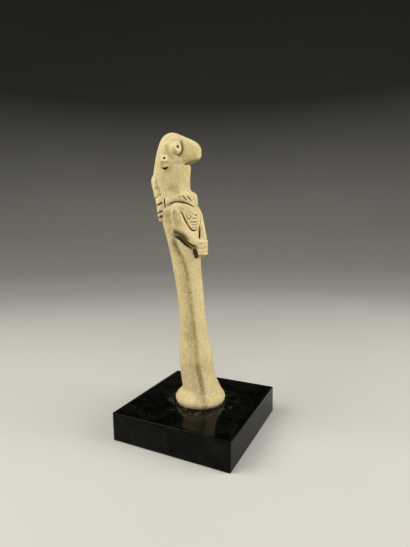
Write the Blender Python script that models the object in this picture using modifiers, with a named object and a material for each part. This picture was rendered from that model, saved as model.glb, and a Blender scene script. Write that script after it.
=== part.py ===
"""Hand-modelled terracotta votive figurine, standing on a square block of black acrylic.

Metres, +Z up. The origin is the middle of the block's underside. The figure faces -Y,
so its right arm is on the -X side.
"""

import math

import bmesh
import bpy
import numpy as np
from mathutils import Matrix, Vector
from mathutils.bvhtree import BVHTree

MM = 0.001

# Display block
BLOCK_SIDE = 70 * MM
BLOCK_HEIGHT = 16 * MM
BLOCK_CHAMFER = 0.5 * MM
REST_GAP = 0.3 * MM  # between the block's top and the foot's underside

# Figurine: every place and size on it is in units, and it stands 152.7 of them tall
FIGURE_HEIGHT = 152.7 * MM
UNIT = FIGURE_HEIGHT / 152.7
SKIN_STEP = 0.32 * UNIT  # grain of the modelled clay before it is thinned
FIGURE_TRIANGLES = 9600
RING_POINTS = 56

# Body and crown: height, centre of the section front to back, half width, depth to the
# front, depth to the back
BODY_SECTIONS = (
    (-1.5, -1.6, 13.2, 13.0, 13.0),
    (0.0, -1.6, 14.0, 13.8, 13.8),
    (1.8, -1.6, 14.6, 14.4, 14.5),
    (3.6, -1.5, 14.2, 13.9, 14.1),
    (5.4, -1.8, 12.8, 12.4, 12.8),
    (7.0, -2.2, 11.6, 11.2, 11.6),
    (8.6, -2.2, 10.9, 10.5, 10.9),
    (10.5, -1.6, 10.6, 10.2, 10.5),
    (14.0, -0.7, 10.3, 9.8, 10.1),
    (20.0, 0.3, 10.1, 9.6, 9.9),
    (28.0, 0.9, 9.6, 9.3, 9.4),
    (36.0, 1.8, 8.7, 8.3, 8.5),
    (44.0, 2.2, 8.1, 7.7, 7.9),
    (52.0, 2.9, 7.8, 7.4, 7.6),
    (60.0, 3.4, 7.7, 7.4, 7.5),
    (68.0, 4.4, 7.9, 7.6, 7.7),
    (76.0, 5.4, 8.2, 7.9, 8.0),
    (84.0, 6.3, 8.7, 8.5, 8.4),
    (90.0, 7.2, 9.2, 9.1, 8.8),
    (95.0, 8.0, 9.8, 9.9, 9.1),
    (100.0, 9.1, 10.4, 10.8, 9.4),
    (107.0, 10.3, 10.5, 11.9, 9.6),
    (112.0, 11.4, 10.1, 12.0, 9.7),
    (116.0, 12.5, 9.6, 10.8, 9.9),
    (121.0, 13.9, 9.3, 10.4, 10.2),
    (127.0, 14.2, 9.1, 10.8, 10.7),
    (130.0, 13.9, 9.1, 10.8, 11.3),
    (133.0, 13.5, 9.1, 10.7, 11.2),
    (137.0, 13.3, 9.3, 10.2, 10.2),
    (139.5, 12.9, 9.4, 8.8, 9.9),
    (142.0, 12.6, 9.2, 7.4, 9.6),
    (145.0, 12.2, 8.7, 6.5, 8.9),
    (148.4, 12.4, 7.2, 6.2, 7.4),
    (151.0, 12.9, 4.9, 5.2, 5.1),
    (152.7, 13.4, 1.8, 1.8, 1.8),
)
# Pinched beak: distance to the front, height of its top and of its under edge, half width
BEAK_SECTIONS = (
    (13.0, 152.0, 136.0, 7.4),
    (9.5, 151.6, 135.2, 8.2),
    (7.8, 151.0, 134.9, 7.9),
    (6.4, 150.4, 134.7, 6.9),
    (5.2, 149.8, 134.6, 5.9),
    (3.8, 149.1, 134.6, 5.0),
    (2.0, 148.2, 134.9, 4.5),
    (-0.6, 146.8, 135.6, 3.9),
    (-2.5, 145.3, 136.4, 3.2),
    (-3.7, 143.8, 137.5, 2.4),
    (-4.4, 142.2, 139.1, 1.3),
)
FLAT_SIDED = 2.9  # power of a section whose sides are pressed flat

# Clay rolls: outward, front to back, height, radius
RIGHT_ARM_ROLL = (
    (7.2, 8.2, 114.5, 2.2),
    (7.7, 6.7, 110.0, 2.8),
    (7.5, 5.4, 104.0, 3.6),
    (7.6, 4.6, 98.8, 3.9),
    (6.1, 1.5, 95.3, 3.6),
    (3.9, -1.9, 91.2, 2.9),
    (2.0, -3.8, 89.4, 2.4),
)
LEFT_ARM_ROLL = (
    (7.4, 6.6, 114.5, 2.4),
    (7.8, 4.0, 110.0, 3.0),
    (8.2, 2.7, 106.0, 3.4),
    (8.3, 1.7, 100.0, 3.5),
    (7.0, 0.0, 95.2, 3.2),
    (5.0, -2.2, 91.5, 2.8),
    (3.0, -3.9, 89.6, 2.5),
)
PALM_CENTRE = (-0.2, -4.2, 88.7)
PALM_SIZE = (3.9, 2.5, 5.5)
FINGER_HEIGHTS = (92.0, 89.8, 87.6, 85.5)
FINGER_RADIUS = 1.1

# Collar: turn from the front in degrees, height, distance from the axis, half height,
# half thickness, lean of its top toward the neck in degrees
COLLAR_BAND = (
    (0, 115.9, 10.8, 4.6, 2.8, 18),
    (15, 115.9, 10.8, 4.4, 2.7, 18),
    (32, 116.4, 10.5, 3.4, 2.5, 14),
    (46, 116.3, 9.9, 2.9, 2.1, 12),
    (60, 116.0, 9.4, 2.6, 1.9, 12),
    (76, 115.2, 9.1, 2.6, 1.8, 10),
    (93, 114.1, 8.9, 2.5, 1.8, 8),
)
# Hair tress behind each shoulder: turn from the front, height, distance, radius
TRESS_ROLL = (
    (134, 129.5, 9.6, 1.2),
    (132, 126.0, 9.9, 2.2),
    (128, 120.0, 9.1, 2.6),
    (124, 113.0, 9.2, 2.9),
    (128, 108.0, 9.8, 2.7),
    (132, 105.0, 10.1, 2.0),
)

# Applied discs: a place on the skin, the turn and lift of the way the discs face, and for
# each disc its radius, its height above the skin and how far it is raised from the place
EYE_PLACE = (7.0, 6.7, 142.9)
EYE_FACES = (28, 6)
EYE_DISCS = ((2.8, 0.7, -0.1), (2.35, 1.6, 0.1))
EYE_HOLE = (1.05, 0.0)  # radius, raised from the place
EAR_PLACE = (9.1, 12.7, 136.9)
EAR_FACES = (74, 20)
EAR_DISCS = ((3.0, 1.1, -1.9), (2.1, 1.2, 0.0))
EAR_HOLE = (0.95, 0.0)
DISC_ROOT = 1.8  # how far a disc is sunk in the head
HOLE_DEPTH = 2.6

# Carving: half width and depth of each kind of cut, and where lines run as turn, height
CREASE_LINE = (
    (94, 91),
    (87, 87),
    (78, 84),
    (68, 79),
    (65, 71),
    (66, 62),
    (64, 52),
    (62, 43),
    (60, 35),
    (61, 26),
    (60, 16),
    (60, 8),
)
CREASE_CUT = (2.8, 0.75)
FAR_CREASE_CUT = (3.0, 0.4)
ELBOW_LINE = (
    (92, 95.6),
    (78, 94.3),
    (68, 93.0),
    (56, 91.0),
    (43, 89.5),
    (31, 88.5),
)
ELBOW_CUT = (1.1, 1.5)
CHEST_LINE = (
    (56, 110.8),
    (53, 109.0),
    (48, 106.7),
    (43, 103.9),
    (37, 101.3),
    (30, 99.2),
    (22, 98.1),
    (12, 98.3),
    (0, 98.6),
)
CHEST_CUT = (0.8, 1.1)
COLLAR_LINE = ((92, 111.6), (83, 112.4), (70, 113.4), (57, 113.9), (46, 113.7), (35, 113.3))
COLLAR_CUT = (0.8, 1.1)
TEMPLE_LINE = ((87, 143.5), (81, 141.4), (70, 138.9), (58, 136.9))
TEMPLE_CUT = (1.7, 0.45)
FAR_ARM_LINE = ((-9, 100.0), (-10, 93.6))
FAR_ARM_CUT = (0.7, 1.3)
NOTCH_CUT = (0.8, 1.3)
COLLAR_NOTCHES = (-47, -34, -22, -9, 9, 22, 34, 47)  # turns from the front
COLLAR_NOTCH_HALF = (4.2, 1.1)  # half its turn, half its height
COLLAR_NOTCH_HEIGHT = 115.8
TRESS_NOTCHES = ((126, 121.0), (123, 117.0), (119, 113.0), (125, 108.7), (128, 106.1))
TRESS_NOTCH_HALF = (9.0, 0.7)
STRAND_CUT = (0.65, 0.85)
STRANDS = ((99.9, 3.4), (101.4, 4.6), (102.9, 5.3), (104.6, 5.7), (106.4, 5.0))
STRAND_MIDDLE = -0.8  # each strand's lowest point, with its half width in STRANDS
STRAND_RISE = 2.2


def clear_scene():
    """Remove whatever the file starts with."""
    for item in list(bpy.data.objects):
        bpy.data.objects.remove(item)


def new_collection(name):
    """A collection linked to the scene."""
    collection = bpy.data.collections.new(name)
    bpy.context.scene.collection.children.link(collection)
    return collection


def material(name, colour, roughness):
    """A plain surface of one colour."""
    made = bpy.data.materials.new(name)
    made.use_nodes = True
    surface = made.node_tree.nodes["Principled BSDF"]
    surface.inputs["Base Color"].default_value = (*colour, 1)
    surface.inputs["Roughness"].default_value = roughness
    surface.inputs["Metallic"].default_value = 0
    made.diffuse_color = (*colour, 1)
    return made


def smooth_rows(rows, steps):
    """The rows joined by a smooth curve, with this many steps from each to the next."""
    table = np.array(rows, float)
    padded = np.vstack([2 * table[0] - table[1], table, 2 * table[-1] - table[-2]])
    made = []
    for i in range(len(table) - 1):
        before, start, end, after = padded[i : i + 4]
        for j in range(steps):
            t = j / steps
            made.append(
                start
                + 0.5 * t * (end - before)
                + t * t * (before - 2.5 * start + 2 * end - 0.5 * after)
                + t**3 * (1.5 * (start - end) + 0.5 * (after - before))
            )
    return [*made, table[-1]]


def rounded(value, power):
    """A cosine or sine bent so that its circle becomes squarer as the power passes 2."""
    return math.copysign(abs(value) ** (2 / power), value)


def turns():
    return (2 * math.pi * i / RING_POINTS for i in range(RING_POINTS))


def loft(clay, rings):
    """Skin a row of rings and close both ends."""
    made = [[clay.verts.new(point) for point in ring] for ring in rings]
    for low, high in zip(made, made[1:]):
        for i in range(RING_POINTS):
            after = (i + 1) % RING_POINTS
            clay.faces.new((low[i], low[after], high[after], high[i]))
    clay.faces.new(reversed(made[0]))
    clay.faces.new(made[-1])


def body_ring(row):
    height, middle, half_width, front, back = row
    ring = []
    for turn in turns():
        across, along = math.sin(turn), -math.cos(turn)
        depth = front if along < 0 else back
        ring.append(Vector((across * half_width, middle + along * depth, height)) * UNIT)
    return ring


def beak_ring(row):
    forward, top, under, half_width = row
    middle, half_height = (top + under) / 2, (top - under) / 2
    ring = []
    for turn in turns():
        across = rounded(math.sin(turn), FLAT_SIDED) * half_width
        up = rounded(math.cos(turn), FLAT_SIDED) * half_height
        ring.append(Vector((across, forward, middle + up)) * UNIT)
    return ring


def ball(clay, centre, size):
    """An egg with these three radii."""
    place = Matrix.Translation(Vector(centre) * UNIT)
    stretch = Matrix.Diagonal((*(value * UNIT for value in size), 1))
    bmesh.ops.create_uvsphere(
        clay, u_segments=32, v_segments=20, radius=1, matrix=place @ stretch
    )


def roll(clay, rows):
    """A roll of clay with round ends through rows of x, y, height and radius."""
    fine = smooth_rows(rows, 5)
    line = bpy.data.curves.new("roll", "CURVE")
    line.dimensions = "3D"
    line.bevel_depth = UNIT
    line.bevel_resolution = 6
    line.use_fill_caps = True
    spline = line.splines.new("POLY")
    spline.points.add(len(fine) - 1)
    for point, (x, y, height, radius) in zip(spline.points, fine):
        point.co = (*(Vector((x, y, height)) * UNIT), 1)
        point.radius = radius
    guide = bpy.data.objects.new("roll", line)
    bpy.context.scene.collection.objects.link(guide)
    solid = bpy.data.meshes.new_from_object(
        guide.evaluated_get(bpy.context.evaluated_depsgraph_get())
    )
    clay.from_mesh(solid)
    bpy.data.objects.remove(guide)
    for x, y, height, radius in (fine[0], fine[-1]):
        ball(clay, (x, y, height), (radius,) * 3)


def axis_at(height):
    """Front-to-back place of the body's axis at a height, all in units."""
    rows = np.array(BODY_SECTIONS)
    return float(np.interp(height, rows[:, 0], rows[:, 1]))


def around(turn, height, distance):
    """The point at a turn from the front, positive to the figure's left."""
    angle = math.radians(turn)
    return (
        distance * math.sin(angle),
        axis_at(height) - distance * math.cos(angle),
        height,
    )


def facing(side, faces):
    """The way a disc on that side faces, from its turn and lift in degrees."""
    turn, lift = (math.radians(value) for value in faces)
    flat = math.cos(lift)
    return Vector(
        (side * math.sin(turn) * flat, -math.cos(turn) * flat, math.sin(lift))
    )


def cylinder(target, start, way, length, radius):
    """A round peg from start along a way."""
    turn = way.to_track_quat("Z", "Y").to_matrix().to_4x4()
    place = Matrix.Translation(start + way * length / 2)
    bmesh.ops.create_cone(
        target,
        cap_ends=True,
        segments=32,
        radius1=radius,
        radius2=radius,
        depth=length,
        matrix=place @ turn,
    )


def applied_discs(clay, side, place, faces, discs):
    """Two discs pressed on each other and on the head."""
    way = facing(side, faces)
    for radius, above, raised in discs:
        centre = Vector((side * place[0], place[1], place[2] + raised)) * UNIT
        cylinder(
            clay,
            centre - way * DISC_ROOT * UNIT,
            way,
            (DISC_ROOT + above) * UNIT,
            radius * UNIT,
        )


def band_ring(row):
    """A tilted oval standing across the way round the body."""
    turn, height, distance, half_height, half_thickness, lean = row
    lean = math.radians(lean)
    ring = []
    for angle in turns():
        out, up = math.sin(angle) * half_thickness, math.cos(angle) * half_height
        far = distance + out * math.cos(lean) - up * math.sin(lean)
        rise = out * math.sin(lean) + up * math.cos(lean)
        x, y, _ = around(turn, height, far)
        ring.append(Vector((x, y, height + rise)) * UNIT)
    return ring


def add_arms(clay):
    for side, rows in ((-1, RIGHT_ARM_ROLL), (1, LEFT_ARM_ROLL)):
        roll(clay, [(side * x, y, height, radius) for x, y, height, radius in rows])
    ball(clay, PALM_CENTRE, PALM_SIZE)
    x, y, _ = PALM_CENTRE
    reach = PALM_SIZE[0] - 0.2
    front = y - PALM_SIZE[1] + 0.5 * FINGER_RADIUS
    for height in FINGER_HEIGHTS:
        roll(
            clay,
            [
                (x - reach, y - 0.6, height, FINGER_RADIUS),
                (x - 0.4 * reach, front, height, FINGER_RADIUS),
                (x + 0.4 * reach, front, height, FINGER_RADIUS),
                (x + reach, y - 0.6, height, FINGER_RADIUS),
            ],
        )


def add_collar(clay):
    """One band from behind one shoulder, round the front, to the other."""
    half = smooth_rows(COLLAR_BAND, 6)
    whole = [(-row[0], *row[1:]) for row in reversed(half[1:])] + half
    loft(clay, [band_ring(row) for row in whole])


def add_tresses(clay):
    for side in (-1, 1):
        roll(
            clay,
            [
                (*around(side * turn, height, far), radius)
                for turn, height, far, radius in TRESS_ROLL
            ],
        )


def add_face(clay):
    for side in (-1, 1):
        applied_discs(clay, side, EYE_PLACE, EYE_FACES, EYE_DISCS)
        applied_discs(clay, side, EAR_PLACE, EAR_FACES, EAR_DISCS)


def pressed_clay(rough, softness):
    """Overlapping shapes pressed into one closed skin and wiped smooth."""
    lump = bpy.data.objects.new("lump", rough)
    bpy.context.scene.collection.objects.link(lump)
    skin = lump.modifiers.new("skin", "REMESH")
    skin.mode = "VOXEL"
    skin.voxel_size = SKIN_STEP
    soften = lump.modifiers.new("soften", "SMOOTH")
    soften.factor = 0.5
    soften.iterations = softness
    mesh = bpy.data.meshes.new_from_object(
        lump.evaluated_get(bpy.context.evaluated_depsgraph_get())
    )
    bpy.data.objects.remove(lump)
    return mesh


class Skin:
    """The pressed clay, where its outside is found and lines are cut."""

    def __init__(self, mesh):
        self.mesh = mesh
        shape = bmesh.new()
        shape.from_mesh(mesh)
        self.tree = BVHTree.FromBMesh(shape)
        shape.free()

    def outside(self, start, way):
        """Where a straight line from outside first meets the clay."""
        return self.tree.ray_cast(start, way)[0]

    def around(self, turn, height):
        """The outermost point at a turn and height."""
        far = Vector(around(turn, height, 40)) * UNIT
        near = Vector(around(turn, height, 0)) * UNIT
        return self.outside(far, (near - far).normalized())

    def front(self, x, height):
        """The foremost point at a place across and a height."""
        return self.outside(Vector((x, -40, height)) * UNIT, Vector((0, 1, 0)))

    def cut(self, line, half_width, depth):
        """Press a rounded groove along a line of points."""
        count = len(self.mesh.vertices)
        places = np.empty(count * 3, np.float32)
        normals = np.empty(count * 3, np.float32)
        self.mesh.vertices.foreach_get("co", places)
        self.mesh.vertex_normals.foreach_get("vector", normals)
        places = places.reshape(-1, 3).astype(float)
        normals = normals.reshape(-1, 3)
        nearest = np.full(count, np.inf)
        for start, end in zip(line, line[1:]):
            start, run = np.array(start), np.array(end - start)
            along = np.clip((places - start) @ run / (run @ run), 0, 1)
            gap = places - start - along[:, None] * run
            nearest = np.minimum(nearest, np.linalg.norm(gap, axis=1))
        share = np.clip(nearest / (half_width * UNIT), 0, 1)
        push = depth * UNIT * 0.5 * (1 + np.cos(math.pi * share))
        places -= normals * push[:, None]
        self.mesh.vertices.foreach_set("co", places.astype(np.float32).ravel())
        self.mesh.update()


def carve_lines(skin):
    """The hollow down each side, the edges of arms and collar, and the temples."""
    for side in (-1, 1):
        for rows, cut in (
            (CREASE_LINE, CREASE_CUT if side < 0 else FAR_CREASE_CUT),
            (ELBOW_LINE, ELBOW_CUT),
            (CHEST_LINE, CHEST_CUT),
            (COLLAR_LINE, COLLAR_CUT),
            (TEMPLE_LINE, TEMPLE_CUT),
        ):
            fine = smooth_rows(rows, 5)
            skin.cut([skin.around(side * turn, height) for turn, height in fine], *cut)
    skin.cut([skin.around(-turn, height) for turn, height in FAR_ARM_LINE], *FAR_ARM_CUT)


def carve_notches(skin):
    """Slanting cuts in the collar and the tresses."""
    half_turn, half_height = COLLAR_NOTCH_HALF
    for turn in COLLAR_NOTCHES:
        start = skin.around(turn - half_turn, COLLAR_NOTCH_HEIGHT - half_height)
        end = skin.around(turn + half_turn, COLLAR_NOTCH_HEIGHT + half_height)
        skin.cut([start, end], *NOTCH_CUT)
    half_turn, half_height = TRESS_NOTCH_HALF
    for side in (-1, 1):
        for turn, height in TRESS_NOTCHES:
            start = skin.around(side * (turn - half_turn), height + half_height)
            end = skin.around(side * (turn + half_turn), height - half_height)
            skin.cut([start, end], *NOTCH_CUT)


def carve_strands(skin):
    """Hanging strands on the chest, each a U below the last."""
    for low, reach in STRANDS:
        line = []
        for share in np.linspace(-1, 1, 13):
            across = STRAND_MIDDLE + share * reach
            line.append(skin.front(across, low + STRAND_RISE * share * share))
        skin.cut(line, *STRAND_CUT)


def hole_cutters(collection):
    """Round pegs that open the pupils and the ears."""
    pegs = bmesh.new()
    places = (
        (EYE_PLACE, EYE_FACES, EYE_DISCS, EYE_HOLE),
        (EAR_PLACE, EAR_FACES, EAR_DISCS, EAR_HOLE),
    )
    for place, faces, discs, (radius, raised) in places:
        top = max(above for _, above, _ in discs)
        for side in (-1, 1):
            way = facing(side, faces)
            centre = Vector((side * place[0], place[1], place[2] + raised)) * UNIT
            start = centre + way * (top - HOLE_DEPTH) * UNIT
            cylinder(pegs, start, way, 2 * HOLE_DEPTH * UNIT, radius * UNIT)
    return cutter("hole_pegs", pegs, collection)


def foot_cutter(collection):
    """A slab that leaves the foot flat below."""
    slab = bmesh.new()
    bmesh.ops.create_cube(slab, size=1)
    bmesh.ops.scale(slab, vec=Vector((60, 60, 10)) * UNIT, verts=slab.verts)
    bmesh.ops.translate(slab, vec=Vector((0, 0, -5)) * UNIT, verts=slab.verts)
    return cutter("foot_slab", slab, collection)


def cutter(name, shape, collection):
    mesh = bpy.data.meshes.new(name)
    shape.to_mesh(mesh)
    shape.free()
    made = bpy.data.objects.new(name, mesh)
    made.hide_render = True
    made.display_type = "WIRE"
    collection.objects.link(made)
    return made


def build_figurine(parts, cutters):
    clay = bmesh.new()
    loft(clay, [body_ring(row) for row in smooth_rows(BODY_SECTIONS, 4)])
    loft(clay, [beak_ring(row) for row in smooth_rows(BEAK_SECTIONS, 4)])
    add_arms(clay)
    add_collar(clay)
    add_tresses(clay)
    add_face(clay)
    rough = bpy.data.meshes.new("rough")
    clay.to_mesh(rough)
    clay.free()
    skin = Skin(pressed_clay(rough, 4))
    carve_lines(skin)
    carve_notches(skin)
    carve_strands(skin)
    mesh = pressed_clay(skin.mesh, 1)
    figurine = bpy.data.objects.new("figurine", mesh)
    parts.objects.link(figurine)
    for tool in (foot_cutter(cutters), hole_cutters(cutters)):
        cut = figurine.modifiers.new(tool.name, "BOOLEAN")
        cut.operation = "DIFFERENCE"
        cut.object = tool
        tool.location.z = BLOCK_HEIGHT + REST_GAP
    thin = figurine.modifiers.new("thin", "DECIMATE")
    thin.ratio = FIGURE_TRIANGLES / (2 * len(mesh.polygons))
    figurine.location.z = BLOCK_HEIGHT + REST_GAP
    mesh.materials.append(material("terracotta", (0.69, 0.58, 0.31), 0.92))
    mesh.shade_smooth()


def build_block(parts):
    shape = bmesh.new()
    bmesh.ops.create_cube(shape, size=1)
    bmesh.ops.scale(
        shape, vec=(BLOCK_SIDE, BLOCK_SIDE, BLOCK_HEIGHT), verts=shape.verts
    )
    bmesh.ops.translate(shape, vec=(0, 0, BLOCK_HEIGHT / 2), verts=shape.verts)
    mesh = bpy.data.meshes.new("plinth")
    shape.to_mesh(mesh)
    shape.free()
    block = bpy.data.objects.new("plinth", mesh)
    parts.objects.link(block)
    edges = block.modifiers.new("polished_edges", "BEVEL")
    edges.width = BLOCK_CHAMFER
    edges.segments = 2
    mesh.materials.append(material("black_acrylic", (0.004, 0.004, 0.004), 0.06))


def main():
    clear_scene()
    parts = new_collection("votive_figurine")
    cutters = new_collection("cutters")
    build_block(parts)
    build_figurine(parts, cutters)


main()
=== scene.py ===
# Terracotta votive figurine fixed to a block of black acrylic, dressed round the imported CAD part.
# Metres, +Z up, the figure faces -Y. Places on the figure are millimetres above its foot, and
# turns are degrees from its front, positive to its own right (-X).
import math

import bpy
import numpy as np
from mathutils import Matrix, Vector
from mathutils.bvhtree import BVHTree
from mathutils.kdtree import KDTree


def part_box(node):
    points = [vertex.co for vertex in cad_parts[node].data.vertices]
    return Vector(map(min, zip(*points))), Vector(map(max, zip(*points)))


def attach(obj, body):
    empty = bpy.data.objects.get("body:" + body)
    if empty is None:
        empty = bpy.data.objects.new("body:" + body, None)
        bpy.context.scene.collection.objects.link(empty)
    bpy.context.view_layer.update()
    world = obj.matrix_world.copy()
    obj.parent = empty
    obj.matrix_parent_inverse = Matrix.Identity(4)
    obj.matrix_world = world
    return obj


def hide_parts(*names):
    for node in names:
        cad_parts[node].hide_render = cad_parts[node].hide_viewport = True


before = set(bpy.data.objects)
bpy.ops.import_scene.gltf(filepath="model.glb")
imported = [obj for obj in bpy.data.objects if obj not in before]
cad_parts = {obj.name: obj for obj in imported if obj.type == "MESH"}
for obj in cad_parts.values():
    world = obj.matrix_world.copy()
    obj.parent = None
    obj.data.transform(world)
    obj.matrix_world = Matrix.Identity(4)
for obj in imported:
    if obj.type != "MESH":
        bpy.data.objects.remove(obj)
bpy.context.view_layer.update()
mm = 0.001
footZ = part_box("figurine")[0].z  # underside of the foot
blockLow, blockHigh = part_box("plinth")
chance = np.random.default_rng(12)


def selectOnly(*pieces):
    if bpy.context.mode != "OBJECT":
        bpy.ops.object.mode_set(mode="OBJECT")
    bpy.ops.object.select_all(action="DESELECT")
    for piece in pieces:
        piece.select_set(True)
    bpy.context.view_layer.objects.active = pieces[0]


def applyModifier(piece, kind, **settings):
    selectOnly(piece)
    modifier = piece.modifiers.new(kind.lower(), kind)
    for name, value in settings.items():
        setattr(modifier, name, value)
    bpy.ops.object.modifier_apply(modifier=modifier.name)


def placeInMesh(piece, location, rotation=(0, 0, 0)):
    piece.location = location
    piece.rotation_euler = rotation
    selectOnly(piece)
    bpy.ops.object.transform_apply(location=True, rotation=True, scale=True)


def joinInto(piece, others):
    selectOnly(piece, *others)
    bpy.ops.object.join()


def meshPlaces(piece):
    places = np.empty(len(piece.data.vertices) * 3)
    piece.data.vertices.foreach_get("co", places)
    return places.reshape(-1, 3)


def meshNormals(piece):
    normals = np.empty(len(piece.data.vertices) * 3)
    piece.data.vertex_normals.foreach_get("vector", normals)
    return normals.reshape(-1, 3)


def smoothPath(rows, steps):
    table = np.array(rows, float)
    padded = np.vstack([2 * table[0] - table[1], table, 2 * table[-1] - table[-2]])
    made = []
    for i in range(len(table) - 1):
        before, start, end, after = padded[i : i + 4]
        for t in np.arange(steps) / steps:
            made.append(
                start
                + 0.5 * t * (end - before)
                + t * t * (before - 2.5 * start + 2 * end - 0.5 * after)
                + t**3 * (1.5 * (start - end) + 0.5 * (after - before))
            )
    return [*made, table[-1]]


# Body axis: height and how far it lies behind the middle of the block
bodyAxis = np.array(
    (
        (-1.5, -1.6), (8.6, -2.2), (20, 0.3), (28, 0.9), (36, 1.8), (44, 2.2), (52, 2.9),
        (60, 3.4), (68, 4.4), (76, 5.4), (84, 6.3), (90, 7.2), (95, 8.0), (100, 9.1),
        (107, 10.3), (112, 11.4), (116, 12.5), (121, 13.9), (127, 14.2), (133, 13.5),
        (137, 13.3), (141, 12.7), (145, 12.2),
    )
)  # fmt: skip
wellOutside = 40


def turned(turn):
    angle = math.radians(turn)
    return Vector((-math.sin(angle), -math.cos(angle), 0))


def onClay(turn, height):
    outward = turned(turn)
    axis = Vector((0, np.interp(height, *bodyAxis.T) * mm, height * mm + footZ))
    found, place, _, _ = clay.ray_cast(axis + outward * wellOutside * mm, -outward)
    return (place if found else axis), outward


# Clay body: a merged copy of the CAD node, smoothed, with crisper discs pressed on
claySteps = {
    "press": 0.26,  # grain of the first pressing, mm
    "tools": 0.13,  # grain of the cutting tools
    "finish": 0.2,  # grain of the last pressing
    "triangles": 192000,
}

clay = bpy.data.objects.new("figurineClay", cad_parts["figurine"].data.copy())
bpy.context.scene.collection.objects.link(clay)
selectOnly(clay)
bpy.ops.object.mode_set(mode="EDIT")
bpy.ops.mesh.select_all(action="SELECT")
bpy.ops.mesh.remove_doubles(threshold=0.001 * mm)
bpy.ops.object.mode_set(mode="OBJECT")
clay.data.materials.clear()
applyModifier(clay, "SUBSURF", levels=2, render_levels=2)
print("clay: smoothed copy of the figurine node,", len(clay.data.polygons), "faces")

# Discs: radius, height above the skin, raised from the place; the hole goes through them all
faceDiscs = (
    {
        "place": (7.0, 6.7, 142.9),
        "turn": 28,
        "lift": 6,
        "oval": 0.8,  # width to height
        "discs": ((3.4, 0.75, -0.2), (2.95, 1.75, 0.1)),
        "hole": (1.0, 0.0, 2.8),
    },
    {
        "place": (9.1, 12.7, 136.9),
        "turn": 74,
        "lift": 20,
        "oval": 1.0,
        "discs": ((2.75, 1.15, -1.5), (2.3, 1.6, 0.0)),
        "hole": (0.95, 0.0, 2.6),
    },
)
discMaking = {
    "root": 1.8,  # sunk in the head
    "rim": 0.32,  # rounded by the finger
    "groove": 0.3,  # scored round the foot of the upper disc
    "grooveOut": 0.12,
    "grooveUp": 0.15,
}


def discWay(side, disc):
    turn, lift = math.radians(disc["turn"]), math.radians(disc["lift"])
    flat = math.cos(lift)
    return Vector((side * math.sin(turn) * flat, -math.cos(turn) * flat, math.sin(lift)))


def pressedDisc(side, disc, radius, above, raised):
    depth = (discMaking["root"] + above) * mm
    bpy.ops.mesh.primitive_cylinder_add(vertices=48, radius=radius * mm, depth=depth)
    piece = bpy.context.object
    for edge in piece.data.edges:
        edge.select = all(piece.data.vertices[i].co.z > 0 for i in edge.vertices)
    for face in piece.data.polygons:
        face.select = face.center.z > depth * 0.49
    for vertex in piece.data.vertices:
        vertex.select = vertex.co.z > 0
    bpy.ops.object.mode_set(mode="EDIT")
    bpy.ops.mesh.select_mode(type="EDGE")
    bpy.ops.mesh.bevel(offset=discMaking["rim"] * mm, segments=4)
    bpy.ops.object.mode_set(mode="OBJECT")
    way = discWay(side, disc)
    x, y, height = disc["place"]
    centre = Vector((side * x * mm, y * mm, (height + raised) * mm + footZ))
    middle = centre + way * (above - discMaking["root"]) / 2 * mm
    piece.scale.x = disc["oval"]
    placeInMesh(piece, middle, way.to_track_quat("Z", "Y").to_euler())
    return piece


discs = [
    pressedDisc(side, disc, *sizes)
    for side in (-1, 1)
    for disc in faceDiscs
    for sizes in disc["discs"]
]
joinInto(clay, discs)
applyModifier(clay, "REMESH", mode="VOXEL", voxel_size=claySteps["press"] * mm)
applyModifier(clay, "SMOOTH", factor=0.5, iterations=2)
print("clay: discs pressed on,", len(clay.data.polygons), "faces")

# Soft pressing: path of turn and height, half width and depth in mm, and whether both sides have it
softPresses = {
    "creaseRight": (
        ((94, 91), (87, 87), (78, 84), (70, 79), (65, 71), (66, 62), (64, 52), (62, 43),
         (59, 35), (61, 26), (60, 16), (60, 8), (60, 4)), 2.7, 0.65, False),
    "creaseLeft": (
        ((-94, 91), (-87, 87), (-78, 84), (-68, 79), (-65, 71), (-66, 62), (-62, 43),
         (-61, 26), (-60, 8)), 2.6, 0.2, False),
    "temple": (((87, 143.5), (81, 141.4), (70, 138.9), (58, 136.9)), 1.5, 0.25, True),
    "jaw": (((69, 134.3), (55, 134.4), (36, 134.5), (14, 134.6)), 1.2, 0.25, True),
    "neckCrease": (((118, 125), (112, 121), (107, 118.5)), 0.9, 0.3, False),
    "shoulderFold": (((52, 110.4), (45, 109.5)), 0.7, 0.3, False),
    "armHollow": (((70, 108), (70, 104), (71, 100)), 1.7, 0.45, True),
    "armBackHollow": (((94, 107.5), (93, 103), (91, 99)), 2.2, 0.35, True),
    "elbow": (((84, 96.4), (74, 96.6), (65, 95.2)), 1.6, 0.35, True),
    "socket": (((32, 146.2), (28, 143.5), (29, 140.6), (36, 138.6)), 2.0, 0.4, True),
}  # fmt: skip
softRidges = {
    "armBack": (((77, 109), (79, 106.4), (81, 103.5), (83, 100.6), (86, 98)), 0.85, 0.5, True),
    "collarSlope": (
        ((84, 117.8), (70, 118.5), (57, 119.2), (45, 119.8), (33, 120.3)), 2.6, 0.6, True),
}  # fmt: skip


def sides(path, both):
    return (path, [(-turn, height) for turn, height in path]) if both else (path,)


def nearness(places, line, halfWidth):
    nearest = np.full(len(places), np.inf)
    for start, end in zip(line, line[1:]):
        start, run = np.array(start), np.array(end) - np.array(start)
        along = np.clip((places - start) @ run / (run @ run), 0, 1)
        gap = places - start - along[:, None] * run
        nearest = np.minimum(nearest, np.einsum("ij,ij->i", gap, gap))
    share = np.clip(np.sqrt(nearest) / (halfWidth * mm), 0, 1)
    return 0.5 * (1 + np.cos(math.pi * share))


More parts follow.
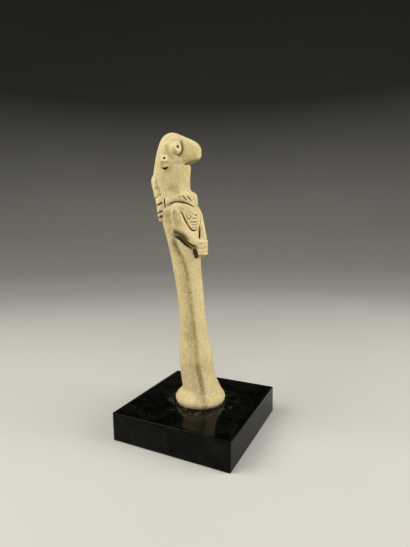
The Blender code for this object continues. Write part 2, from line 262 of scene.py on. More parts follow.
def pushClay(paths, sign):
    places = meshPlaces(clay)
    amount = np.zeros(len(places))
    for path, halfWidth, depth, both in paths:
        for way in sides(path, both):
            line = [onClay(turn, height)[0] for turn, height in smoothPath(way, 4)]
            amount = np.maximum(amount, nearness(places, line, halfWidth) * depth)
    deepest = amount.max()
    group = clay.vertex_groups.new(name="pushed")
    for i in np.flatnonzero(amount > 0.004):
        group.add([int(i)], float(amount[i] / deepest), "REPLACE")
    applyModifier(
        clay, "DISPLACE", strength=sign * deepest * mm, mid_level=0, vertex_group="pushed"
    )
    clay.vertex_groups.clear()


pushClay(softPresses.values(), -1)
pushClay(softRidges.values(), 1)

softened = {  # the neck runs into the collar with no crease, and the collar's front is plain
    "lines": (
        (((98, 117.6), (84, 118.4), (70, 119), (57, 119.6), (45, 120), (34, 120.3), (22, 120.4),
          (10, 120.4)), 4.5),
        (((56, 116), (42, 116), (28, 115.8), (14, 115.3), (4, 115)), 2.8),
    ),
    "rounds": 150,
}  # fmt: skip
places = meshPlaces(clay)
share = np.zeros(len(places))
for path, halfWidth in softened["lines"]:
    for way in sides(path, True):
        line = [onClay(turn, height)[0] for turn, height in smoothPath(way, 4)]
        share = np.maximum(share, nearness(places, line, halfWidth))
group = clay.vertex_groups.new(name="softened")
for i in np.flatnonzero(share > 0.01):
    group.add([int(i)], float(share[i] ** 0.5), "REPLACE")
applyModifier(
    clay, "SMOOTH", factor=0.5, iterations=softened["rounds"], vertex_group="softened"
)
clay.vertex_groups.clear()
print("clay: soft creases pressed")

# Scored lines: path, width and depth in mm, how far the tool leans up, and both sides or one
scoredLines = {
    "underArm": (
        ((93, 95.8), (79, 94.2), (68, 92.8), (56, 90.9), (42, 89.3), (29, 88.4)),
        1.1, 2.2, 35, True),
    "forearmBelow": (
        ((80, 95.4), (68, 94.4), (56, 92.6), (43, 90.9), (31, 89.6)), 2.4, 0.9, 45, True),
    "chestEdge": (
        ((54, 109.4), (48, 106.9), (43, 104.0), (36, 101.3), (29, 99.4), (20, 98.3),
         (10, 98.2), (-4, 99.0), (-14, 99.9)), 0.85, 1.3, 0, False),
    "chestEdgeLeft": (
        ((-42, 111), (-38, 109.8), (-34, 107.3), (-32, 104.8), (-31, 102.3), (-29, 100.1)),
        0.6, 0.5, 0, False),
    "collarUnder": (
        ((86, 112.2), (71, 113.5), (57, 113.9), (44, 113.7), (33, 113.3), (22, 112.3),
         (12, 111.3), (4, 111.2)), 0.8, 1.3, 20, True),
    "lobeUnder": (
        ((100, 133.1), (94, 132.3), (87, 131.9), (80, 132.1), (75, 132.8)), 1.6, 1.6, 35, True),
    "eyeUnder": (
        ((35.5, 146), (32.5, 144.7), (30, 143.2), (29.5, 141.7), (32, 140.3), (37, 139.4),
         (43, 139.1), (49, 139.4)), 1.2, 0.8, 0, True),
    "beakUnder": (
        ((21, 133.8), (15, 134.3), (8, 134.6), (0, 134.8), (-8, 134.6), (-15, 134.3),
         (-21, 133.8)), 0.8, 0.8, 45, False),
    "mendedBreak": (
        ((150, 65.4), (135, 64.8), (110, 64.2), (85, 64.0), (71, 63.7), (54, 64.3), (34, 65.3),
         (18, 65.6), (3, 66.1)), 0.3, 0.16, 0, False),
}  # fmt: skip
shortCuts = (  # start, end, width, depth, both sides, and the turn it is cut from, 0 for straight in
    ((41, 117.5), (28, 114.4), 0.65, 1.1, True, 50),
    ((28, 117.2), (15, 114.0), 0.65, 1.1, True, 45),
    ((54, 117.2), (38, 114.6), 0.45, 0.6, True, 55),
    ((10, 116.1), (-1, 113.8), 0.5, 0.6, False, 30),
    ((129, 111.6), (106, 114.1), 1.25, 1.6, True, 0),
    ((132, 107.6), (110, 109.5), 1.15, 1.5, True, 0),
    ((131, 105.2), (116, 106.8), 1.3, 1.4, True, 0),
    ((129, 116.0), (112, 117.4), 0.7, 0.6, True, 0),
    ((95, 116.4), (101.5, 110.2), 1.1, 2.0, True, 72),
    ((110, 118.7), (108, 118.0), 0.6, 0.7, False, 90),
    ((27, 90.9), (10, 90.5), 0.5, 0.42, True, 45),
    ((27, 88.4), (9, 87.9), 0.5, 0.45, True, 45),
    ((25, 86.2), (10, 86.2), 0.5, 0.42, True, 45),
    ((9, 90.9), (8, 87.8), 0.45, 0.45, False, 30),
    ((83, 64.8), (78, 63.8), 0.5, 0.5, False, 62),
    ((78, 63.8), (70, 63.4), 0.45, 0.45, False, 62),
    ((70, 63.4), (62, 63.6), 0.5, 0.6, False, 62),
    ((63, 63.6), (53, 64.3), 0.8, 1.0, False, 62),
    ((73, 65.9), (69, 65.1), 0.5, 0.5, False, 62),
)
strands = (  # carved U lines on the chest, then the loop at their right end
    ((20, 105.0), (13, 104.6), (4, 105.1), (-10, 105.6)),
    ((33, 103.5), (22, 102.8), (5, 103.1), (-20, 104.1)),
    ((32, 102.3), (24, 101.5), (12, 101.3), (-6, 101.9), (-20, 102.3)),
    ((27, 101.2), (21, 99.9), (3, 99.8), (-15, 100.6)),
    ((10, 107.6), (2, 106.6), (-12, 107.2)),
    ((31, 107.9), (26.5, 107.3), (24.5, 106.1), (26.5, 104.9), (31, 104.5), (35.5, 105),
     (37.5, 106.2), (35.5, 107.4), (31, 107.9)),
)  # fmt: skip
pockets = (  # x, y and height of points, width, depth: sunk level from the turn below
    (((4.0, -0.9, 101.5), (3.3, -1.2, 97.8), (2.4, -1.5, 93.7)), 1.2, 2.8),
    (((-3.7, -1.3, 88.4), (-3.0, -1.7, 85.7), (-1.9, -2.0, 82.9)), 2.6, 2.4),
)
pocketTurn = 62


def tube(line, radii):
    curve = bpy.data.curves.new("tool", "CURVE")
    curve.dimensions = "3D"
    curve.bevel_depth = mm
    curve.bevel_resolution = 3
    curve.use_fill_caps = True
    spline = curve.splines.new("POLY")
    spline.points.add(len(line) - 1)
    for point, place, radius in zip(spline.points, line, radii):
        point.co = (*place, 1)
        point.radius = radius
    piece = bpy.data.objects.new("tool", curve)
    bpy.context.scene.collection.objects.link(piece)
    selectOnly(piece)
    bpy.ops.object.convert(target="MESH")
    return piece


toolMarks = []  # meshes of all cuts


def cut(found, width, depth, slope=0.0, blunt=0.3):
    shares = np.linspace(0, 1, len(found))
    taper = [blunt + (1 - blunt) * math.sin(math.pi * share) ** 0.5 for share in shares]
    level = depth - width / 2
    while True:
        line = [
            place - (outward - Vector((0, 0, slope))) * level * share * mm
            for (place, outward), share in zip(found, taper)
        ]
        toolMarks.append(tube(line, [width / 2 * share for share in taper]))
        if level <= 0:
            break
        level -= width * 0.4


def score(path, width, depth, lean=0, both=False, blunt=0.3, aim=0):
    for side, way in zip((1, -1), sides(path, both)):
        found = [onClay(turn, height) for turn, height in smoothPath(way, 5)]
        if aim:
            found = [(place, turned(side * aim)) for place, _ in found]
        cut(found, width, depth, math.tan(math.radians(lean)), blunt)


for path, width, depth, lean, both in scoredLines.values():
    score(path, width, depth, lean, both)
for start, end, width, depth, both, aim in shortCuts:
    middle = tuple((a + b) / 2 for a, b in zip(start, end))
    score((start, middle, end), width, depth, 0, both, 0.3, aim)
for path in strands:
    score(path, 0.62, 0.7)
for points, width, depth in pockets:
    found = [
        (Vector((x * mm, y * mm, height * mm + footZ)), turned(pocketTurn))
        for x, y, height in smoothPath(points, 5)
    ]
    cut(found, width, depth, 0.0, 0.6)

for side in (-1, 1):
    for disc in faceDiscs:
        (_, step, _), (rim, _, lifted) = disc["discs"]
        bpy.ops.mesh.primitive_torus_add(
            major_segments=64,
            minor_segments=10,
            major_radius=(rim + discMaking["grooveOut"]) * mm,
            minor_radius=discMaking["groove"] * mm,
        )
        way = discWay(side, disc)
        x, y, height = disc["place"]
        centre = Vector((side * x * mm, y * mm, (height + lifted) * mm + footZ))
        bpy.context.object.scale.x = disc["oval"]
        placeInMesh(
            bpy.context.object,
            centre + way * (step + discMaking["grooveUp"]) * mm,
            way.to_track_quat("Z", "Y").to_euler(),
        )
        toolMarks.append(bpy.context.object)
        radius, raised, deep = disc["hole"]
        bpy.ops.mesh.primitive_cone_add(
            vertices=32, radius1=radius * 0.6 * mm, radius2=radius * 1.12 * mm, depth=2 * deep * mm
        )
        top = max(above for _, above, _ in disc["discs"])
        centre = Vector((side * x * mm, y * mm, (height + raised) * mm + footZ))
        placeInMesh(bpy.context.object, centre + way * top * mm, way.to_track_quat("Z", "Y").to_euler())
        toolMarks.append(bpy.context.object)

uncut = BVHTree.FromObject(clay, bpy.context.evaluated_depsgraph_get())
tools = toolMarks[0]
joinInto(tools, toolMarks[1:])
tools.name = "tools"
applyModifier(tools, "REMESH", mode="VOXEL", voxel_size=claySteps["tools"] * mm)
applyModifier(tools, "SMOOTH", factor=0.5, iterations=2)
applyModifier(clay, "BOOLEAN", operation="DIFFERENCE", object=tools, solver="MANIFOLD")
bpy.data.objects.remove(tools)
applyModifier(clay, "REMESH", mode="VOXEL", voxel_size=claySteps["finish"] * mm)
applyModifier(clay, "SMOOTH", factor=0.5, iterations=1)
print("clay: scored and pierced,", len(clay.data.polygons), "faces")

# Skin: hand undulation, fine grit and pits
claySkin = {
    "waves": (9.0, 0.28),  # size and height, mm
    "ripples": (2.6, 0.16),
    "grit": (0.8, 0.11),
    "pits": 190,
    "pitRadius": (0.18, 0.42),
    "pitDepth": (0.1, 0.3),
    "pitOdds": {"anywhere": 0.0004, "crease": 3.0, "collar": 0.006, "foot": 0.003},
    "creasePits": ((40, 7), (76, 9)),  # height and turn, each with its spread
}

for name in ("waves", "ripples", "grit"):
    size, height = claySkin[name]
    grain = bpy.data.textures.new(name, "CLOUDS")
    grain.noise_scale = size * mm
    grain.noise_depth = 2
    applyModifier(
        clay, "DISPLACE", texture=grain, texture_coords="LOCAL", strength=height * mm, mid_level=0.5
    )

places, normals = meshPlaces(clay), meshNormals(clay)
lookup = KDTree(len(places))
for i, place in enumerate(places):
    lookup.insert(place, i)
lookup.balance()
sunk = np.zeros(len(places))
heights = (places[:, 2] - footZ) / mm
behind = places[:, 1] / mm - np.interp(heights, *bodyAxis.T)
turns = np.degrees(np.arctan2(-places[:, 0] / mm, -behind))
(level, rise), (turn, spread) = claySkin["creasePits"]
besideCrease = np.exp(-(((heights - level) / rise) ** 2) - ((turns - turn) / spread) ** 2)
chances = claySkin["pitOdds"]
odds = chances["anywhere"] + chances["crease"] * besideCrease
odds = odds + chances["collar"] * (abs(heights - 114) < 10) + chances["foot"] * (heights < 60)
odds = odds / odds.sum()
for i in chance.choice(len(places), claySkin["pits"], p=odds, replace=False):
    radius = chance.uniform(*claySkin["pitRadius"]) * mm
    depth = chance.uniform(*claySkin["pitDepth"])
    for _, j, distance in lookup.find_range(places[i], radius):
        sunk[j] = max(sunk[j], depth * (1 - (distance / radius) ** 2))
places -= normals * sunk[:, None] * mm
clay.data.vertices.foreach_set("co", places.ravel())
clay.data.update()
print("clay: skin grained and pitted")


def averaged(values, links, counts, rounds):
    for _ in range(rounds):
        total = np.zeros_like(values)
        for k in range(values.shape[1]):
            total[:, k] = np.bincount(links[:, 0], values[links[:, 1], k], len(values))
            total[:, k] += np.bincount(links[:, 1], values[links[:, 0], k], len(values))
        values = 0.5 * values + 0.5 * total / counts[:, None]
    return values


def ramped(values, low, high):
    share = np.clip((values - low) / (high - low), 0, 1)
    return share * share * (3 - 2 * share)


# Dirt, wear and painted light: hollows hold soil and painted shade, undersides and cuts get painted shade,
# ridges are rubbed pale with painted highlights
soilAndShadeSpots = (  # turn, height, radius mm, strength
    (60, 121, 3.8, 0.8), (52, 119.2, 3.0, 0.85), (46, 121.5, 2.4, 0.8), (48, 118.4, 2.0, 0.6),
    (113, 121.5, 1.8, 0.8), (111, 118.5, 1.2, 0.8), (80, 121, 4.0, 0.3), (90, 127, 4.0, 0.25),
    (76, 97.5, 3.4, 1.0), (66, 96.0, 3.2, 1.0), (54, 93.6, 2.8, 1.0), (44, 91.4, 2.2, 0.9),
    (97, 107.0, 3.4, 0.9), (92, 103.5, 3.2, 0.8), (97, 99, 3.6, 0.6), (104, 103, 3.0, 0.5),
    (66, 107.0, 2.4, 0.5), (67, 102.5, 2.8, 0.8),
    (97, 90.5, 3.2, 0.95), (89, 87.0, 3.0, 0.9), (92, 94.0, 2.6, 0.95), (80, 84.5, 2.4, 0.8),
    (88, 80, 3.5, 0.4), (84, 74, 3.5, 0.3), (84, 66, 3.0, 0.35), (60, 60.5, 2.6, 0.3),
    (66, 137.0, 2.2, 0.3), (40, 135.3, 1.8, 0.4), (24, 135.6, 1.6, 0.6),
    (92, 134.6, 2.0, 0.75), (84, 134.2, 1.4, 0.5), (72, 134.2, 1.3, 0.5),
    (86, 64.6, 3.2, 0.4), (72, 65.4, 2.4, 0.45), (66, 62.6, 1.8, 0.35),
    (58, 8, 3.6, 0.6), (64, 12, 3.4, 0.6), (62, 17, 3.0, 0.6), (52, 4.5, 2.4, 0.5),
    (80, 40, 4.2, 0.5), (74, 47, 3.6, 0.45), (72, 33, 3.4, 0.45), (76, 54, 3.0, 0.35),
)  # fmt: skip
crease = softPresses["creaseRight"][0]
soilAndShadeLines = (  # path, half width, strength, both sides
    (crease, 1.6, 0.32, False),
    ([(turn + 9, height) for turn, height in crease], 3.6, 0.42, False),
    (crease[:5], 1.8, 0.75, False),
    (((65, 57), (62, 46), (59, 35), (60, 28)), 2.0, 0.55, False),
    (((60, 22), (60, 12), (58, 5), (57, 2)), 3.0, 0.75, False),
    (softPresses["creaseLeft"][0], 1.8, 0.5, False),
    (softPresses["temple"][0], 1.2, 0.45, True),
    (softPresses["armHollow"][0], 2.2, 0.55, True),
    (softPresses["socket"][0], 1.3, 0.6, True),
    (((78, 98.2), (70, 97.2), (61, 95.8), (54, 93.8), (46, 91.6)), 2.6, 1.0, True),
    (scoredLines["mendedBreak"][0], 0.26, 0.35, False),
)
deepShadeLines = (  # the same for dark brown painted shade in cuts, creases and undersides
    (scoredLines["forearmBelow"][0], 1.7, 0.92, True),
    (((80, 97.6), (70, 96.7), (61, 95.4), (54, 93.6)), 2.2, 0.8, True),
    (((97, 91.5), (91, 88.5), (84, 85.5)), 1.5, 0.35, True),
    (((61, 47), (59, 38)), 1.0, 0.15, False),
    (((60, 24), (60, 14), (58, 5)), 2.2, 0.12, False),
    (scoredLines["eyeUnder"][0], 0.75, 0.5, True),
    (((14, 134.4), (10, 134.7), (7, 135.0), (6, 135.4), (5, 136.0), (3, 136.3)), 1.1, 0.75, True),
)
highlightLines = (  # the same for painted highlights along lit ridges
    (softRidges["armBack"][0], 0.6, 1.0, True),
    (((80, 110.8), (66, 111.9), (52, 112.2), (40, 111.8)), 0.8, 0.6, True),
)
handHollow = {"place": pockets[1][0][1], "radius": 3.4, "shadeKept": 0.6}
soilAndShadeLimits = {  # how far in or out the skin lies, mm, where each starts and is full
    "closeRounds": 10,
    "wideRounds": 70,
    "closeHollow": (0.02, 0.12),
    "wideHollow": (0.08, 0.5),
    "cut": (0.35, 0.65),
    "deepHollow": (0.2, 0.6),
    "deepCut": (0.5, 1.2),
    "ridge": (0.03, 0.3),
}

links = np.empty(len(clay.data.edges) * 2, np.int64)
clay.data.edges.foreach_get("vertices", links)
links = links.reshape(-1, 2)
counts = np.bincount(links.ravel(), minlength=len(places)).astype(float)
normals = meshNormals(clay)
near = averaged(places, links, counts, soilAndShadeLimits["closeRounds"])
wide = averaged(near, links, counts, soilAndShadeLimits["wideRounds"])
closeHollow = np.einsum("ij,ij->i", near - places, normals) / mm
wideHollow = np.einsum("ij,ij->i", wide - places, normals) / mm
cutDepth = np.array([uncut.find_nearest(place)[3] for place in places]) / mm
# painted shade on the downward faces of the head, arms and collar
undersideShade = ramped(-normals[:, 2], 0.3, 0.9) * (heights > 80)
# soil mixed with painted shade in hollows, on undersides and in cuts
soilAndShade = np.maximum.reduce(
    (
        0.85 * ramped(closeHollow, *soilAndShadeLimits["closeHollow"]),
        0.9 * ramped(wideHollow, *soilAndShadeLimits["wideHollow"]),
        0.6 * undersideShade,
        ramped(cutDepth, *soilAndShadeLimits["cut"]),
    )
)


def paintAlong(values, paths):
    for path, halfWidth, strength, both in paths:
        for way in sides(path, both):
            line = [onClay(turn, height)[0] for turn, height in smoothPath(way, 4)]
            values = np.maximum(values, strength * nearness(places, line, halfWidth) ** 0.7)
    return values


# soil and painted shade laid along lines and spots; pits darkened as well
soilAndShade = paintAlong(soilAndShade, soilAndShadeLines)
for turn, height, radius, strength in soilAndShadeSpots:
    spot = np.array(onClay(turn, height)[0])
    share = np.clip(1 - np.linalg.norm(places - spot, axis=1) / (radius * mm), 0, 1)
    soilAndShade = np.maximum(soilAndShade, strength * share**0.8)
soilAndShade = np.maximum(soilAndShade, np.clip(sunk * 4, 0, 0.9))
# painted shade, dark brown, in deep hollows and cuts
deep = np.maximum(
    ramped(wideHollow, *soilAndShadeLimits["deepHollow"]), ramped(cutDepth, *soilAndShadeLimits["deepCut"])
)
# the painted shade in the hollow behind the hand is kept lighter
x, y, height = handHollow["place"]
gap = places - np.array((x * mm, y * mm, height * mm + footZ))
deep[np.linalg.norm(gap, axis=1) < handHollow["radius"] * mm] *= handHollow["shadeKept"]
deep = paintAlong(deep, deepShadeLines)
# ridges paled for wear and painted highlights, away from soil and shade
rubbedAndHighlit = paintAlong(ramped(-wideHollow, *soilAndShadeLimits["ridge"]) * (1 - soilAndShade), highlightLines)
for name, values in (("soilAndShade", soilAndShade), ("deep", deep), ("rubbedAndHighlit", rubbedAndHighlit)):
    attribute = clay.data.attributes.new(name, "FLOAT", "POINT")
    attribute.data.foreach_set("value", values.astype(np.float32))

applyModifier(clay, "DECIMATE", ratio=min(1, claySteps["triangles"] / (2 * len(clay.data.polygons))))
bpy.ops.object.shade_smooth()
print("clay: thinned to", len(clay.data.polygons), "triangles")

# Display block: sawn acrylic with flame-polished edges
displayBlock = {"bevel": 0.5, "segments": 3, "border": 1.6, "faceArea": 500}  # mm

size = blockHigh - blockLow
bpy.ops.mesh.primitive_cube_add(size=1, location=(blockLow + blockHigh) / 2, scale=size)
block = bpy.context.object
block.name = "displayBlock"
bpy.ops.object.transform_apply(location=True, rotation=True, scale=True)
bpy.ops.object.mode_set(mode="EDIT")
bpy.ops.mesh.select_all(action="SELECT")
bpy.ops.mesh.bevel(offset=displayBlock["bevel"] * mm, segments=displayBlock["segments"], affect="EDGES")
bpy.ops.mesh.select_mode(type="FACE")
bpy.ops.mesh.select_all(action="DESELECT")
bpy.ops.object.mode_set(mode="OBJECT")
for face in block.data.polygons:
    face.select = face.area > displayBlock["faceArea"] * mm * mm  # the six flat sides
bpy.ops.object.mode_set(mode="EDIT")
bpy.ops.mesh.inset(thickness=displayBlock["border"] * mm, use_individual=True)
bpy.ops.object.mode_set(mode="OBJECT")
bpy.ops.object.shade_smooth_by_angle(angle=math.radians(40))
print("block: bevelled,", len(block.data.polygons), "faces")

# Wax: a bead squeezed out round the foot
waxBead = {
    "radius": 13.4,
    "thickness": 0.7,
    "flatten": 0.45,
    "centre": (0, -1.6),
    "rise": 0.12,
    "lumpSize": 4,
    "lumpHeight": 0.7,
    "clear": 0.01,  # above the block
}

bpy.ops.mesh.primitive_torus_add(
    major_segments=160,
    minor_segments=16,
    major_radius=waxBead["radius"] * mm,
    minor_radius=waxBead["thickness"] * mm,
)
wax = bpy.context.object
wax.name = "waxBead"
wax.scale.z = waxBead["flatten"]
x, y = waxBead["centre"]
placeInMesh(wax, (x * mm, y * mm, blockHigh.z + waxBead["rise"] * mm))
squeeze = bpy.data.textures.new("squeeze", "CLOUDS")
squeeze.noise_scale = waxBead["lumpSize"] * mm
lumps = waxBead["lumpHeight"] * mm
applyModifier(wax, "DISPLACE", texture=squeeze, texture_coords="LOCAL", strength=lumps, mid_level=0.55)
selectOnly(wax)
bpy.ops.object.shade_smooth()
lowest = blockHigh.z + waxBead["clear"] * mm
for vertex in wax.data.vertices:
    vertex.co.z = max(vertex.co.z, lowest)
print("wax: bead laid round the foot")


# Materials
def toLinear(code):
    parts = [int(code[i : i + 2], 16) / 255 for i in (1, 3, 5)]
    return (*((c / 12.92 if c <= 0.04045 else ((c + 0.055) / 1.055) ** 2.4) for c in parts), 1)


def newMaterial(name):
    material = bpy.data.materials.new(name)
    material.use_nodes = True
    return material, material.node_tree.nodes["Principled BSDF"]


def addNode(material, kind, settings=None, feeds=None):
    tree = material.node_tree
    node = tree.nodes.new(kind)
    for name, value in (settings or {}).items():
        if name == "stops":
            for i, (place, code) in enumerate(value):
                stop = node.color_ramp.elements[i] if i < 2 else node.color_ramp.elements.new(place)
                stop.position = place
                stop.color = toLinear(code)
        else:
            setattr(node, name, value)
    for name, value in (feeds or {}).items():
        if isinstance(value, bpy.types.NodeSocket):
            tree.links.new(value, node.inputs[name])
        else:
            node.inputs[name].default_value = toLinear(value) if isinstance(value, str) else value
    return node


def feed(material, socket, source):
    material.node_tree.links.new(source, socket)


# Low-fired buff terracotta, pressed and wiped by hand: dead matt, grainy, greenish soil and painted shade
# in hollows, painted highlights on ridges
clayPatterns = {  # size in mm
    "firing": 14,
    "blush": 8,
    "mottle": 1.7,
    "streaks": 2,
    "clots": 0.9,  # breaks up the soil and painted shade
    "grain": 0.7,  # drawn twice as coarse as real, to show
    "specks": 1.0,
}
buffTerracotta, surface = newMaterial("buffTerracotta")
surface.inputs["Roughness"].default_value = 0.9
surface.inputs["Specular IOR Level"].default_value = 0.3
surface.inputs["IOR"].default_value = 1.5
here = addNode(buffTerracotta, "ShaderNodeTexCoord").outputs["Object"]
inMm = addNode(
    buffTerracotta, "ShaderNodeMapping", {}, {"Vector": here, "Scale": (1000, 1000, 1000)}
).outputs["Vector"]
upright = addNode(  # for marks that run up the figure
    buffTerracotta, "ShaderNodeMapping", {}, {"Vector": here, "Scale": (1000, 1000, 160)}
).outputs["Vector"]
noise = {}
for name, detail, roughness in (
    ("firing", 3, 0.5), ("blush", 2, 0.6), ("mottle", 6, 0.72), ("streaks", 4, 0.65),
    ("clots", 5, 0.75), ("grain", 6, 0.7),
):  # fmt: skip
    noise[name] = addNode(
        buffTerracotta,
        "ShaderNodeTexNoise",
        {},
        {
            "Vector": upright if name == "streaks" else inMm,
            "Scale": 1 / clayPatterns[name],
            "Detail": detail,
            "Roughness": roughness,
        },
    ).outputs["Fac"]
colour = addNode(
    buffTerracotta,
    "ShaderNodeValToRGB",
    {"stops": ((0.3, "#c9b785"), (0.7, "#dccb97"), (0.5, "#d3c28d"))},
    {"Fac": noise["firing"]},
).outputs["Color"]
tones = {}
for name, low, high, least, most in (
    ("blush", 0.48, 0.7, 0.0, 0.65), ("mottle", 0.3, 0.7, 0.78, 1.15),
    ("streaks", 0.3, 0.7, 0.95, 1.04), ("clots", 0.36, 0.62, 0.25, 1.3),
):  # fmt: skip
    tones[name] = addNode(
        buffTerracotta,
        "ShaderNodeMapRange",
        {},
        {"Value": noise[name], "From Min": low, "From Max": high, "To Min": least, "To Max": most},
    ).outputs["Result"]
colour = addNode(  # pinker iron-rich patches
    buffTerracotta, "ShaderNodeMix", {"data_type": "RGBA"}, {0: tones["blush"], 6: colour, 7: "#d6bf9c"}
).outputs[2]
for name in ("mottle", "streaks"):
    colour = addNode(
        buffTerracotta, "ShaderNodeVectorMath", {"operation": "SCALE"}, {0: colour, "Scale": tones[name]}
    ).outputs["Vector"]
# pale wear with painted highlights, soil with painted shade, then dark brown painted shade in cuts, over
# the clay colour
for name, code, most in (("rubbedAndHighlit", "#eaddb0", 0.6), ("soilAndShade", "#8a7948", 1.0), ("deep", "#34250c", 1.0)):
    amount = addNode(buffTerracotta, "ShaderNodeAttribute", {"attribute_name": name}).outputs["Fac"]
    share = addNode(
        buffTerracotta,
        "ShaderNodeMath",
        {"operation": "MULTIPLY", "use_clamp": True},
        {0: amount, 1: tones["clots"] if name == "soilAndShade" else most},
    ).outputs["Value"]
    colour = addNode(
        buffTerracotta, "ShaderNodeMix", {"data_type": "RGBA"}, {0: share, 6: colour, 7: code}
    ).outputs[2]
grains = addNode(  # dark grit in the clay
    buffTerracotta, "ShaderNodeTexVoronoi", {}, {"Vector": inMm, "Scale": 1 / clayPatterns["specks"]}
).outputs["Distance"]
grainSpots = addNode(
    buffTerracotta,
    "ShaderNodeMapRange",
    {},
    {"Value": grains, "From Min": 0.12, "From Max": 0.24, "To Min": 1.0, "To Max": 0.0},
).outputs["Result"]
grainPatches = addNode(
    buffTerracotta,
    "ShaderNodeMapRange",
    {},
    {"Value": noise["blush"], "From Min": 0.44, "From Max": 0.62, "To Min": 0.0, "To Max": 0.15},
).outputs["Result"]
share = addNode(
    buffTerracotta, "ShaderNodeMath", {"operation": "MULTIPLY"}, {0: grainSpots, 1: grainPatches}
).outputs["Value"]
colour = addNode(
    buffTerracotta, "ShaderNodeMix", {"data_type": "RGBA"}, {0: share, 6: colour, 7: "#7d6a44"}
).outputs[2]
feed(buffTerracotta, surface.inputs["Base Color"], colour)
bump = addNode(
    buffTerracotta, "ShaderNodeBump", {}, {"Height": noise["grain"], "Strength": 0.7, "Distance": 0.28 * mm}
).outputs["Normal"]
bump = addNode(
    buffTerracotta,
    "ShaderNodeBump",
    {},
    {"Height": noise["mottle"], "Strength": 0.6, "Distance": 0.5 * mm, "Normal": bump},
).outputs["Normal"]
feed(buffTerracotta, surface.inputs["Normal"], bump)

# Cast black acrylic, polished: a dark mirror, with dust, wiping haze and wax smears on its top
acrylicPatterns = {"haze": 9, "dust": 2.6, "smears": 3.4, "smearReach": (13.0, 23.0)}  # mm
castAcrylic, surface = newMaterial("castAcrylic")
surface.inputs["IOR"].default_value = 1.49
surface.inputs["Specular IOR Level"].default_value = 0.09  # a weaker mirror than real, for a pale floor
here = addNode(castAcrylic, "ShaderNodeTexCoord").outputs["Object"]
inMm = addNode(
    castAcrylic, "ShaderNodeMapping", {}, {"Vector": here, "Scale": (1000, 1000, 1000)}
).outputs["Vector"]
noise = {}
for name, detail in (("haze", 6), ("smears", 4)):
    noise[name] = addNode(
        castAcrylic,
        "ShaderNodeTexNoise",
        {},
        {
            "Vector": inMm,
            "Scale": 1 / acrylicPatterns[name],
            "Detail": detail,
            "Roughness": 0.65,
            "Distortion": 0.8,
        },
    ).outputs["Fac"]
flat = addNode(  # distance from the foot's middle
    castAcrylic, "ShaderNodeMapping", {}, {"Vector": inMm, "Location": (0, 1.6, 0), "Scale": (1, 1, 0)}
).outputs["Vector"]
reach = addNode(castAcrylic, "ShaderNodeVectorMath", {"operation": "LENGTH"}, {0: flat}).outputs["Value"]
facing = addNode(castAcrylic, "ShaderNodeNewGeometry").outputs["Normal"]
upward = addNode(castAcrylic, "ShaderNodeSeparateXYZ", {}, {"Vector": facing}).outputs["Z"]
dust = addNode(
    castAcrylic, "ShaderNodeTexVoronoi", {}, {"Vector": inMm, "Scale": 1 / acrylicPatterns["dust"]}
)
dustPick = addNode(castAcrylic, "ShaderNodeSeparateXYZ", {}, {"Vector": dust.outputs["Color"]}).outputs["X"]
shares = {}
for name, value, low, high, least, most in (
    ("haze", noise["haze"], 0.42, 0.75, 0.0, 1.0),
    ("smears", noise["smears"], 0.52, 0.68, 0.0, 0.7),
    ("near", reach, *acrylicPatterns["smearReach"], 1.0, 0.0),
    ("dust", dust.outputs["Distance"], 0.03, 0.1, 1.0, 0.0),
    ("picked", dustPick, 0.45, 1.0, 0.0, 0.9),
):
    shares[name] = addNode(
        castAcrylic,
        "ShaderNodeMapRange",
        {},
        {"Value": value, "From Min": low, "From Max": high, "To Min": least, "To Max": most},
    ).outputs["Result"]
for name, other in (("smears", "near"), ("dust", "picked")):
    onTop = addNode(
        castAcrylic,
        "ShaderNodeMath",
        {"operation": "MULTIPLY", "use_clamp": True},
        {0: shares[other], 1: upward},
    ).outputs["Value"]
    shares[name] = addNode(
        castAcrylic, "ShaderNodeMath", {"operation": "MULTIPLY"}, {0: shares[name], 1: onTop}
    ).outputs["Value"]
colour = addNode(
    castAcrylic, "ShaderNodeMix", {"data_type": "RGBA"}, {0: shares["haze"], 6: "#030303", 7: "#14150f"}
).outputs[2]
gloss = addNode(
    castAcrylic, "ShaderNodeMath", {"operation": "MULTIPLY_ADD"}, {0: shares["haze"], 1: 0.16, 2: 0.03}
).outputs["Value"]
for name, code, dulling in (("smears", "#6a6857", 0.5), ("dust", "#8d897a", 0.7)):
    colour = addNode(
        castAcrylic, "ShaderNodeMix", {"data_type": "RGBA"}, {0: shares[name], 6: colour, 7: code}
    ).outputs[2]
    gloss = addNode(
        castAcrylic,
        "ShaderNodeMath",
        {"operation": "MULTIPLY_ADD", "use_clamp": True},
        {0: shares[name], 1: dulling, 2: gloss},
    ).outputs["Value"]
feed(castAcrylic, surface.inputs["Base Color"], colour)
feed(castAcrylic, surface.inputs["Roughness"], gloss)

# Microcrystalline wax, squeezed out warm: cloudy, soft sheen
fixingWax, surface = newMaterial("fixingWax")
surface.inputs["Base Color"].default_value = toLinear("#5d5a4b")
surface.inputs["Roughness"].default_value = 0.4
surface.inputs["IOR"].default_value = 1.44
surface.inputs["Transmission Weight"].default_value = 0.55

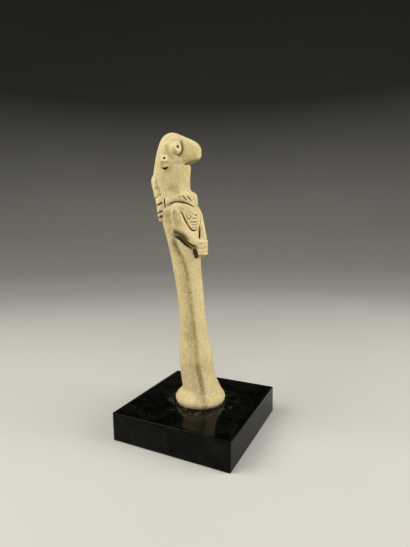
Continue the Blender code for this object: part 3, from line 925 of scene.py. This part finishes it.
# Matt painted studio sweep, pale below and shaded above
paintedSweep, surface = newMaterial("paintedSweep")
surface.inputs["Roughness"].default_value = 0.85
here = addNode(paintedSweep, "ShaderNodeTexCoord").outputs["Object"]
level = addNode(paintedSweep, "ShaderNodeSeparateXYZ", {}, {"Vector": here}).outputs["Z"]
shade = addNode(
    paintedSweep,
    "ShaderNodeValToRGB",
    {"stops": ((0.02, "#c4c1ba"), (0.6, "#45443f"))},
    {"Fac": level},
).outputs["Color"]
wash = addNode(
    paintedSweep, "ShaderNodeTexNoise", {}, {"Vector": here, "Scale": 4.0, "Detail": 3.0}
).outputs["Fac"]
washTone = addNode(
    paintedSweep, "ShaderNodeMapRange", {}, {"Value": wash, "To Min": 0.94, "To Max": 1.06}
).outputs["Result"]
washed = addNode(
    paintedSweep, "ShaderNodeVectorMath", {"operation": "SCALE"}, {0: shade, "Scale": washTone}
).outputs["Vector"]
feed(paintedSweep, surface.inputs["Base Color"], washed)

for piece, material in ((clay, buffTerracotta), (block, castAcrylic), (wax, fixingWax)):
    piece.data.materials.clear()
    piece.data.materials.append(material)
print("materials: terracotta, acrylic, wax")

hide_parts("figurine")
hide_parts("plinth")
for piece in (clay, block, wax):
    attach(piece, "root")

# Stage: a round pale sweep
sweepStart = 0.02  # radius, m
sweepProfile = ((0.55, 0.0), (0.85, 0.02), (1.1, 0.12), (1.25, 0.3), (1.32, 0.6), (1.35, 1.5))

bpy.ops.mesh.primitive_circle_add(vertices=96, radius=sweepStart, fill_type="NGON")
floor = bpy.context.object
floor.name = "paleSweep"
bpy.ops.object.mode_set(mode="EDIT")
bpy.ops.mesh.select_all(action="SELECT")
radius, level = sweepStart, 0.0
for reach, rise in sweepProfile:
    bpy.ops.mesh.extrude_region_move(TRANSFORM_OT_translate={"value": (0, 0, rise - level)})
    bpy.ops.transform.resize(value=(reach / radius, reach / radius, 1))
    radius, level = reach, rise
bpy.ops.mesh.delete(type="ONLY_FACE")
bpy.ops.mesh.select_all(action="SELECT")
bpy.ops.mesh.normals_make_consistent(inside=False)
bpy.ops.object.mode_set(mode="OBJECT")
bpy.ops.object.shade_smooth()
floor.data.materials.append(paintedSweep)

# Lights: bearing and height round the figure in degrees, distance m, size m, power W
softLights = {
    "leftBox": (-138, 42, 0.6, 0.5, 3.5),
    "rightBox": (12, 22, 0.6, 0.45, 3.0),
    "overhead": (-62, 78, 0.7, 0.5, 1.7),
    "front": (-70, 25, 0.9, 0.6, 1.55),
}
aim = Vector((0, 0.005, 0.09))
for name, (bearing, lift, distance, size, power) in softLights.items():
    bearing, lift = math.radians(bearing), math.radians(lift)
    way = Vector((math.sin(bearing) * math.cos(lift), -math.cos(bearing) * math.cos(lift), math.sin(lift)))
    lamp = bpy.data.lights.new(name, "AREA")
    lamp.shape = "DISK"
    lamp.size = size
    lamp.energy = power
    lamp.color = (1.0, 0.98, 0.94)
    light = bpy.data.objects.new(name, lamp)
    light.location = aim + way * distance
    light.rotation_euler = way.to_track_quat("Z", "Y").to_euler()
    bpy.context.scene.collection.objects.link(light)

world = bpy.data.worlds.new("studio")
world.use_nodes = True
world.node_tree.nodes["Background"].inputs["Color"].default_value = (0.8, 0.82, 0.85, 1)
world.node_tree.nodes["Background"].inputs["Strength"].default_value = 0.12
bpy.context.scene.world = world
bpy.context.scene.view_settings.view_transform = "Standard"

# Camera, solved from the block's corners in the photograph
cameraRig = {
    "bearing": -61.99,
    "distance": 214.1,
    "height": 114.1,
    "pan": -1.40,
    "pitch": 6.37,
    "roll": -0.98,
    "lens": 24.94,
}
bearing, pan, pitch, roll = (
    math.radians(cameraRig[name]) for name in ("bearing", "pan", "pitch", "roll")
)
yaw = bearing + pan
ahead = Vector((-math.sin(yaw) * math.cos(pitch), math.cos(yaw) * math.cos(pitch), -math.sin(pitch)))
level = Vector((math.cos(yaw), math.sin(yaw), 0))
over = level.cross(ahead)
across = level * math.cos(roll) + over * math.sin(roll)
upright = over * math.cos(roll) - level * math.sin(roll)
stand = Vector(
    (
        math.sin(bearing) * cameraRig["distance"],
        -math.cos(bearing) * cameraRig["distance"],
        cameraRig["height"],
    )
)
lens = bpy.data.cameras.new("camera")
lens.lens = cameraRig["lens"]
lens.sensor_width = 36
lens.clip_start = 0.01
camera = bpy.data.objects.new("camera", lens)
camera.matrix_world = Matrix(
    [[across[i], upright[i], -ahead[i], stand[i] * mm] for i in range(3)] + [[0, 0, 0, 1]]
)
bpy.context.scene.collection.objects.link(camera)
bpy.context.scene.camera = camera
print("stage, lights and camera set")
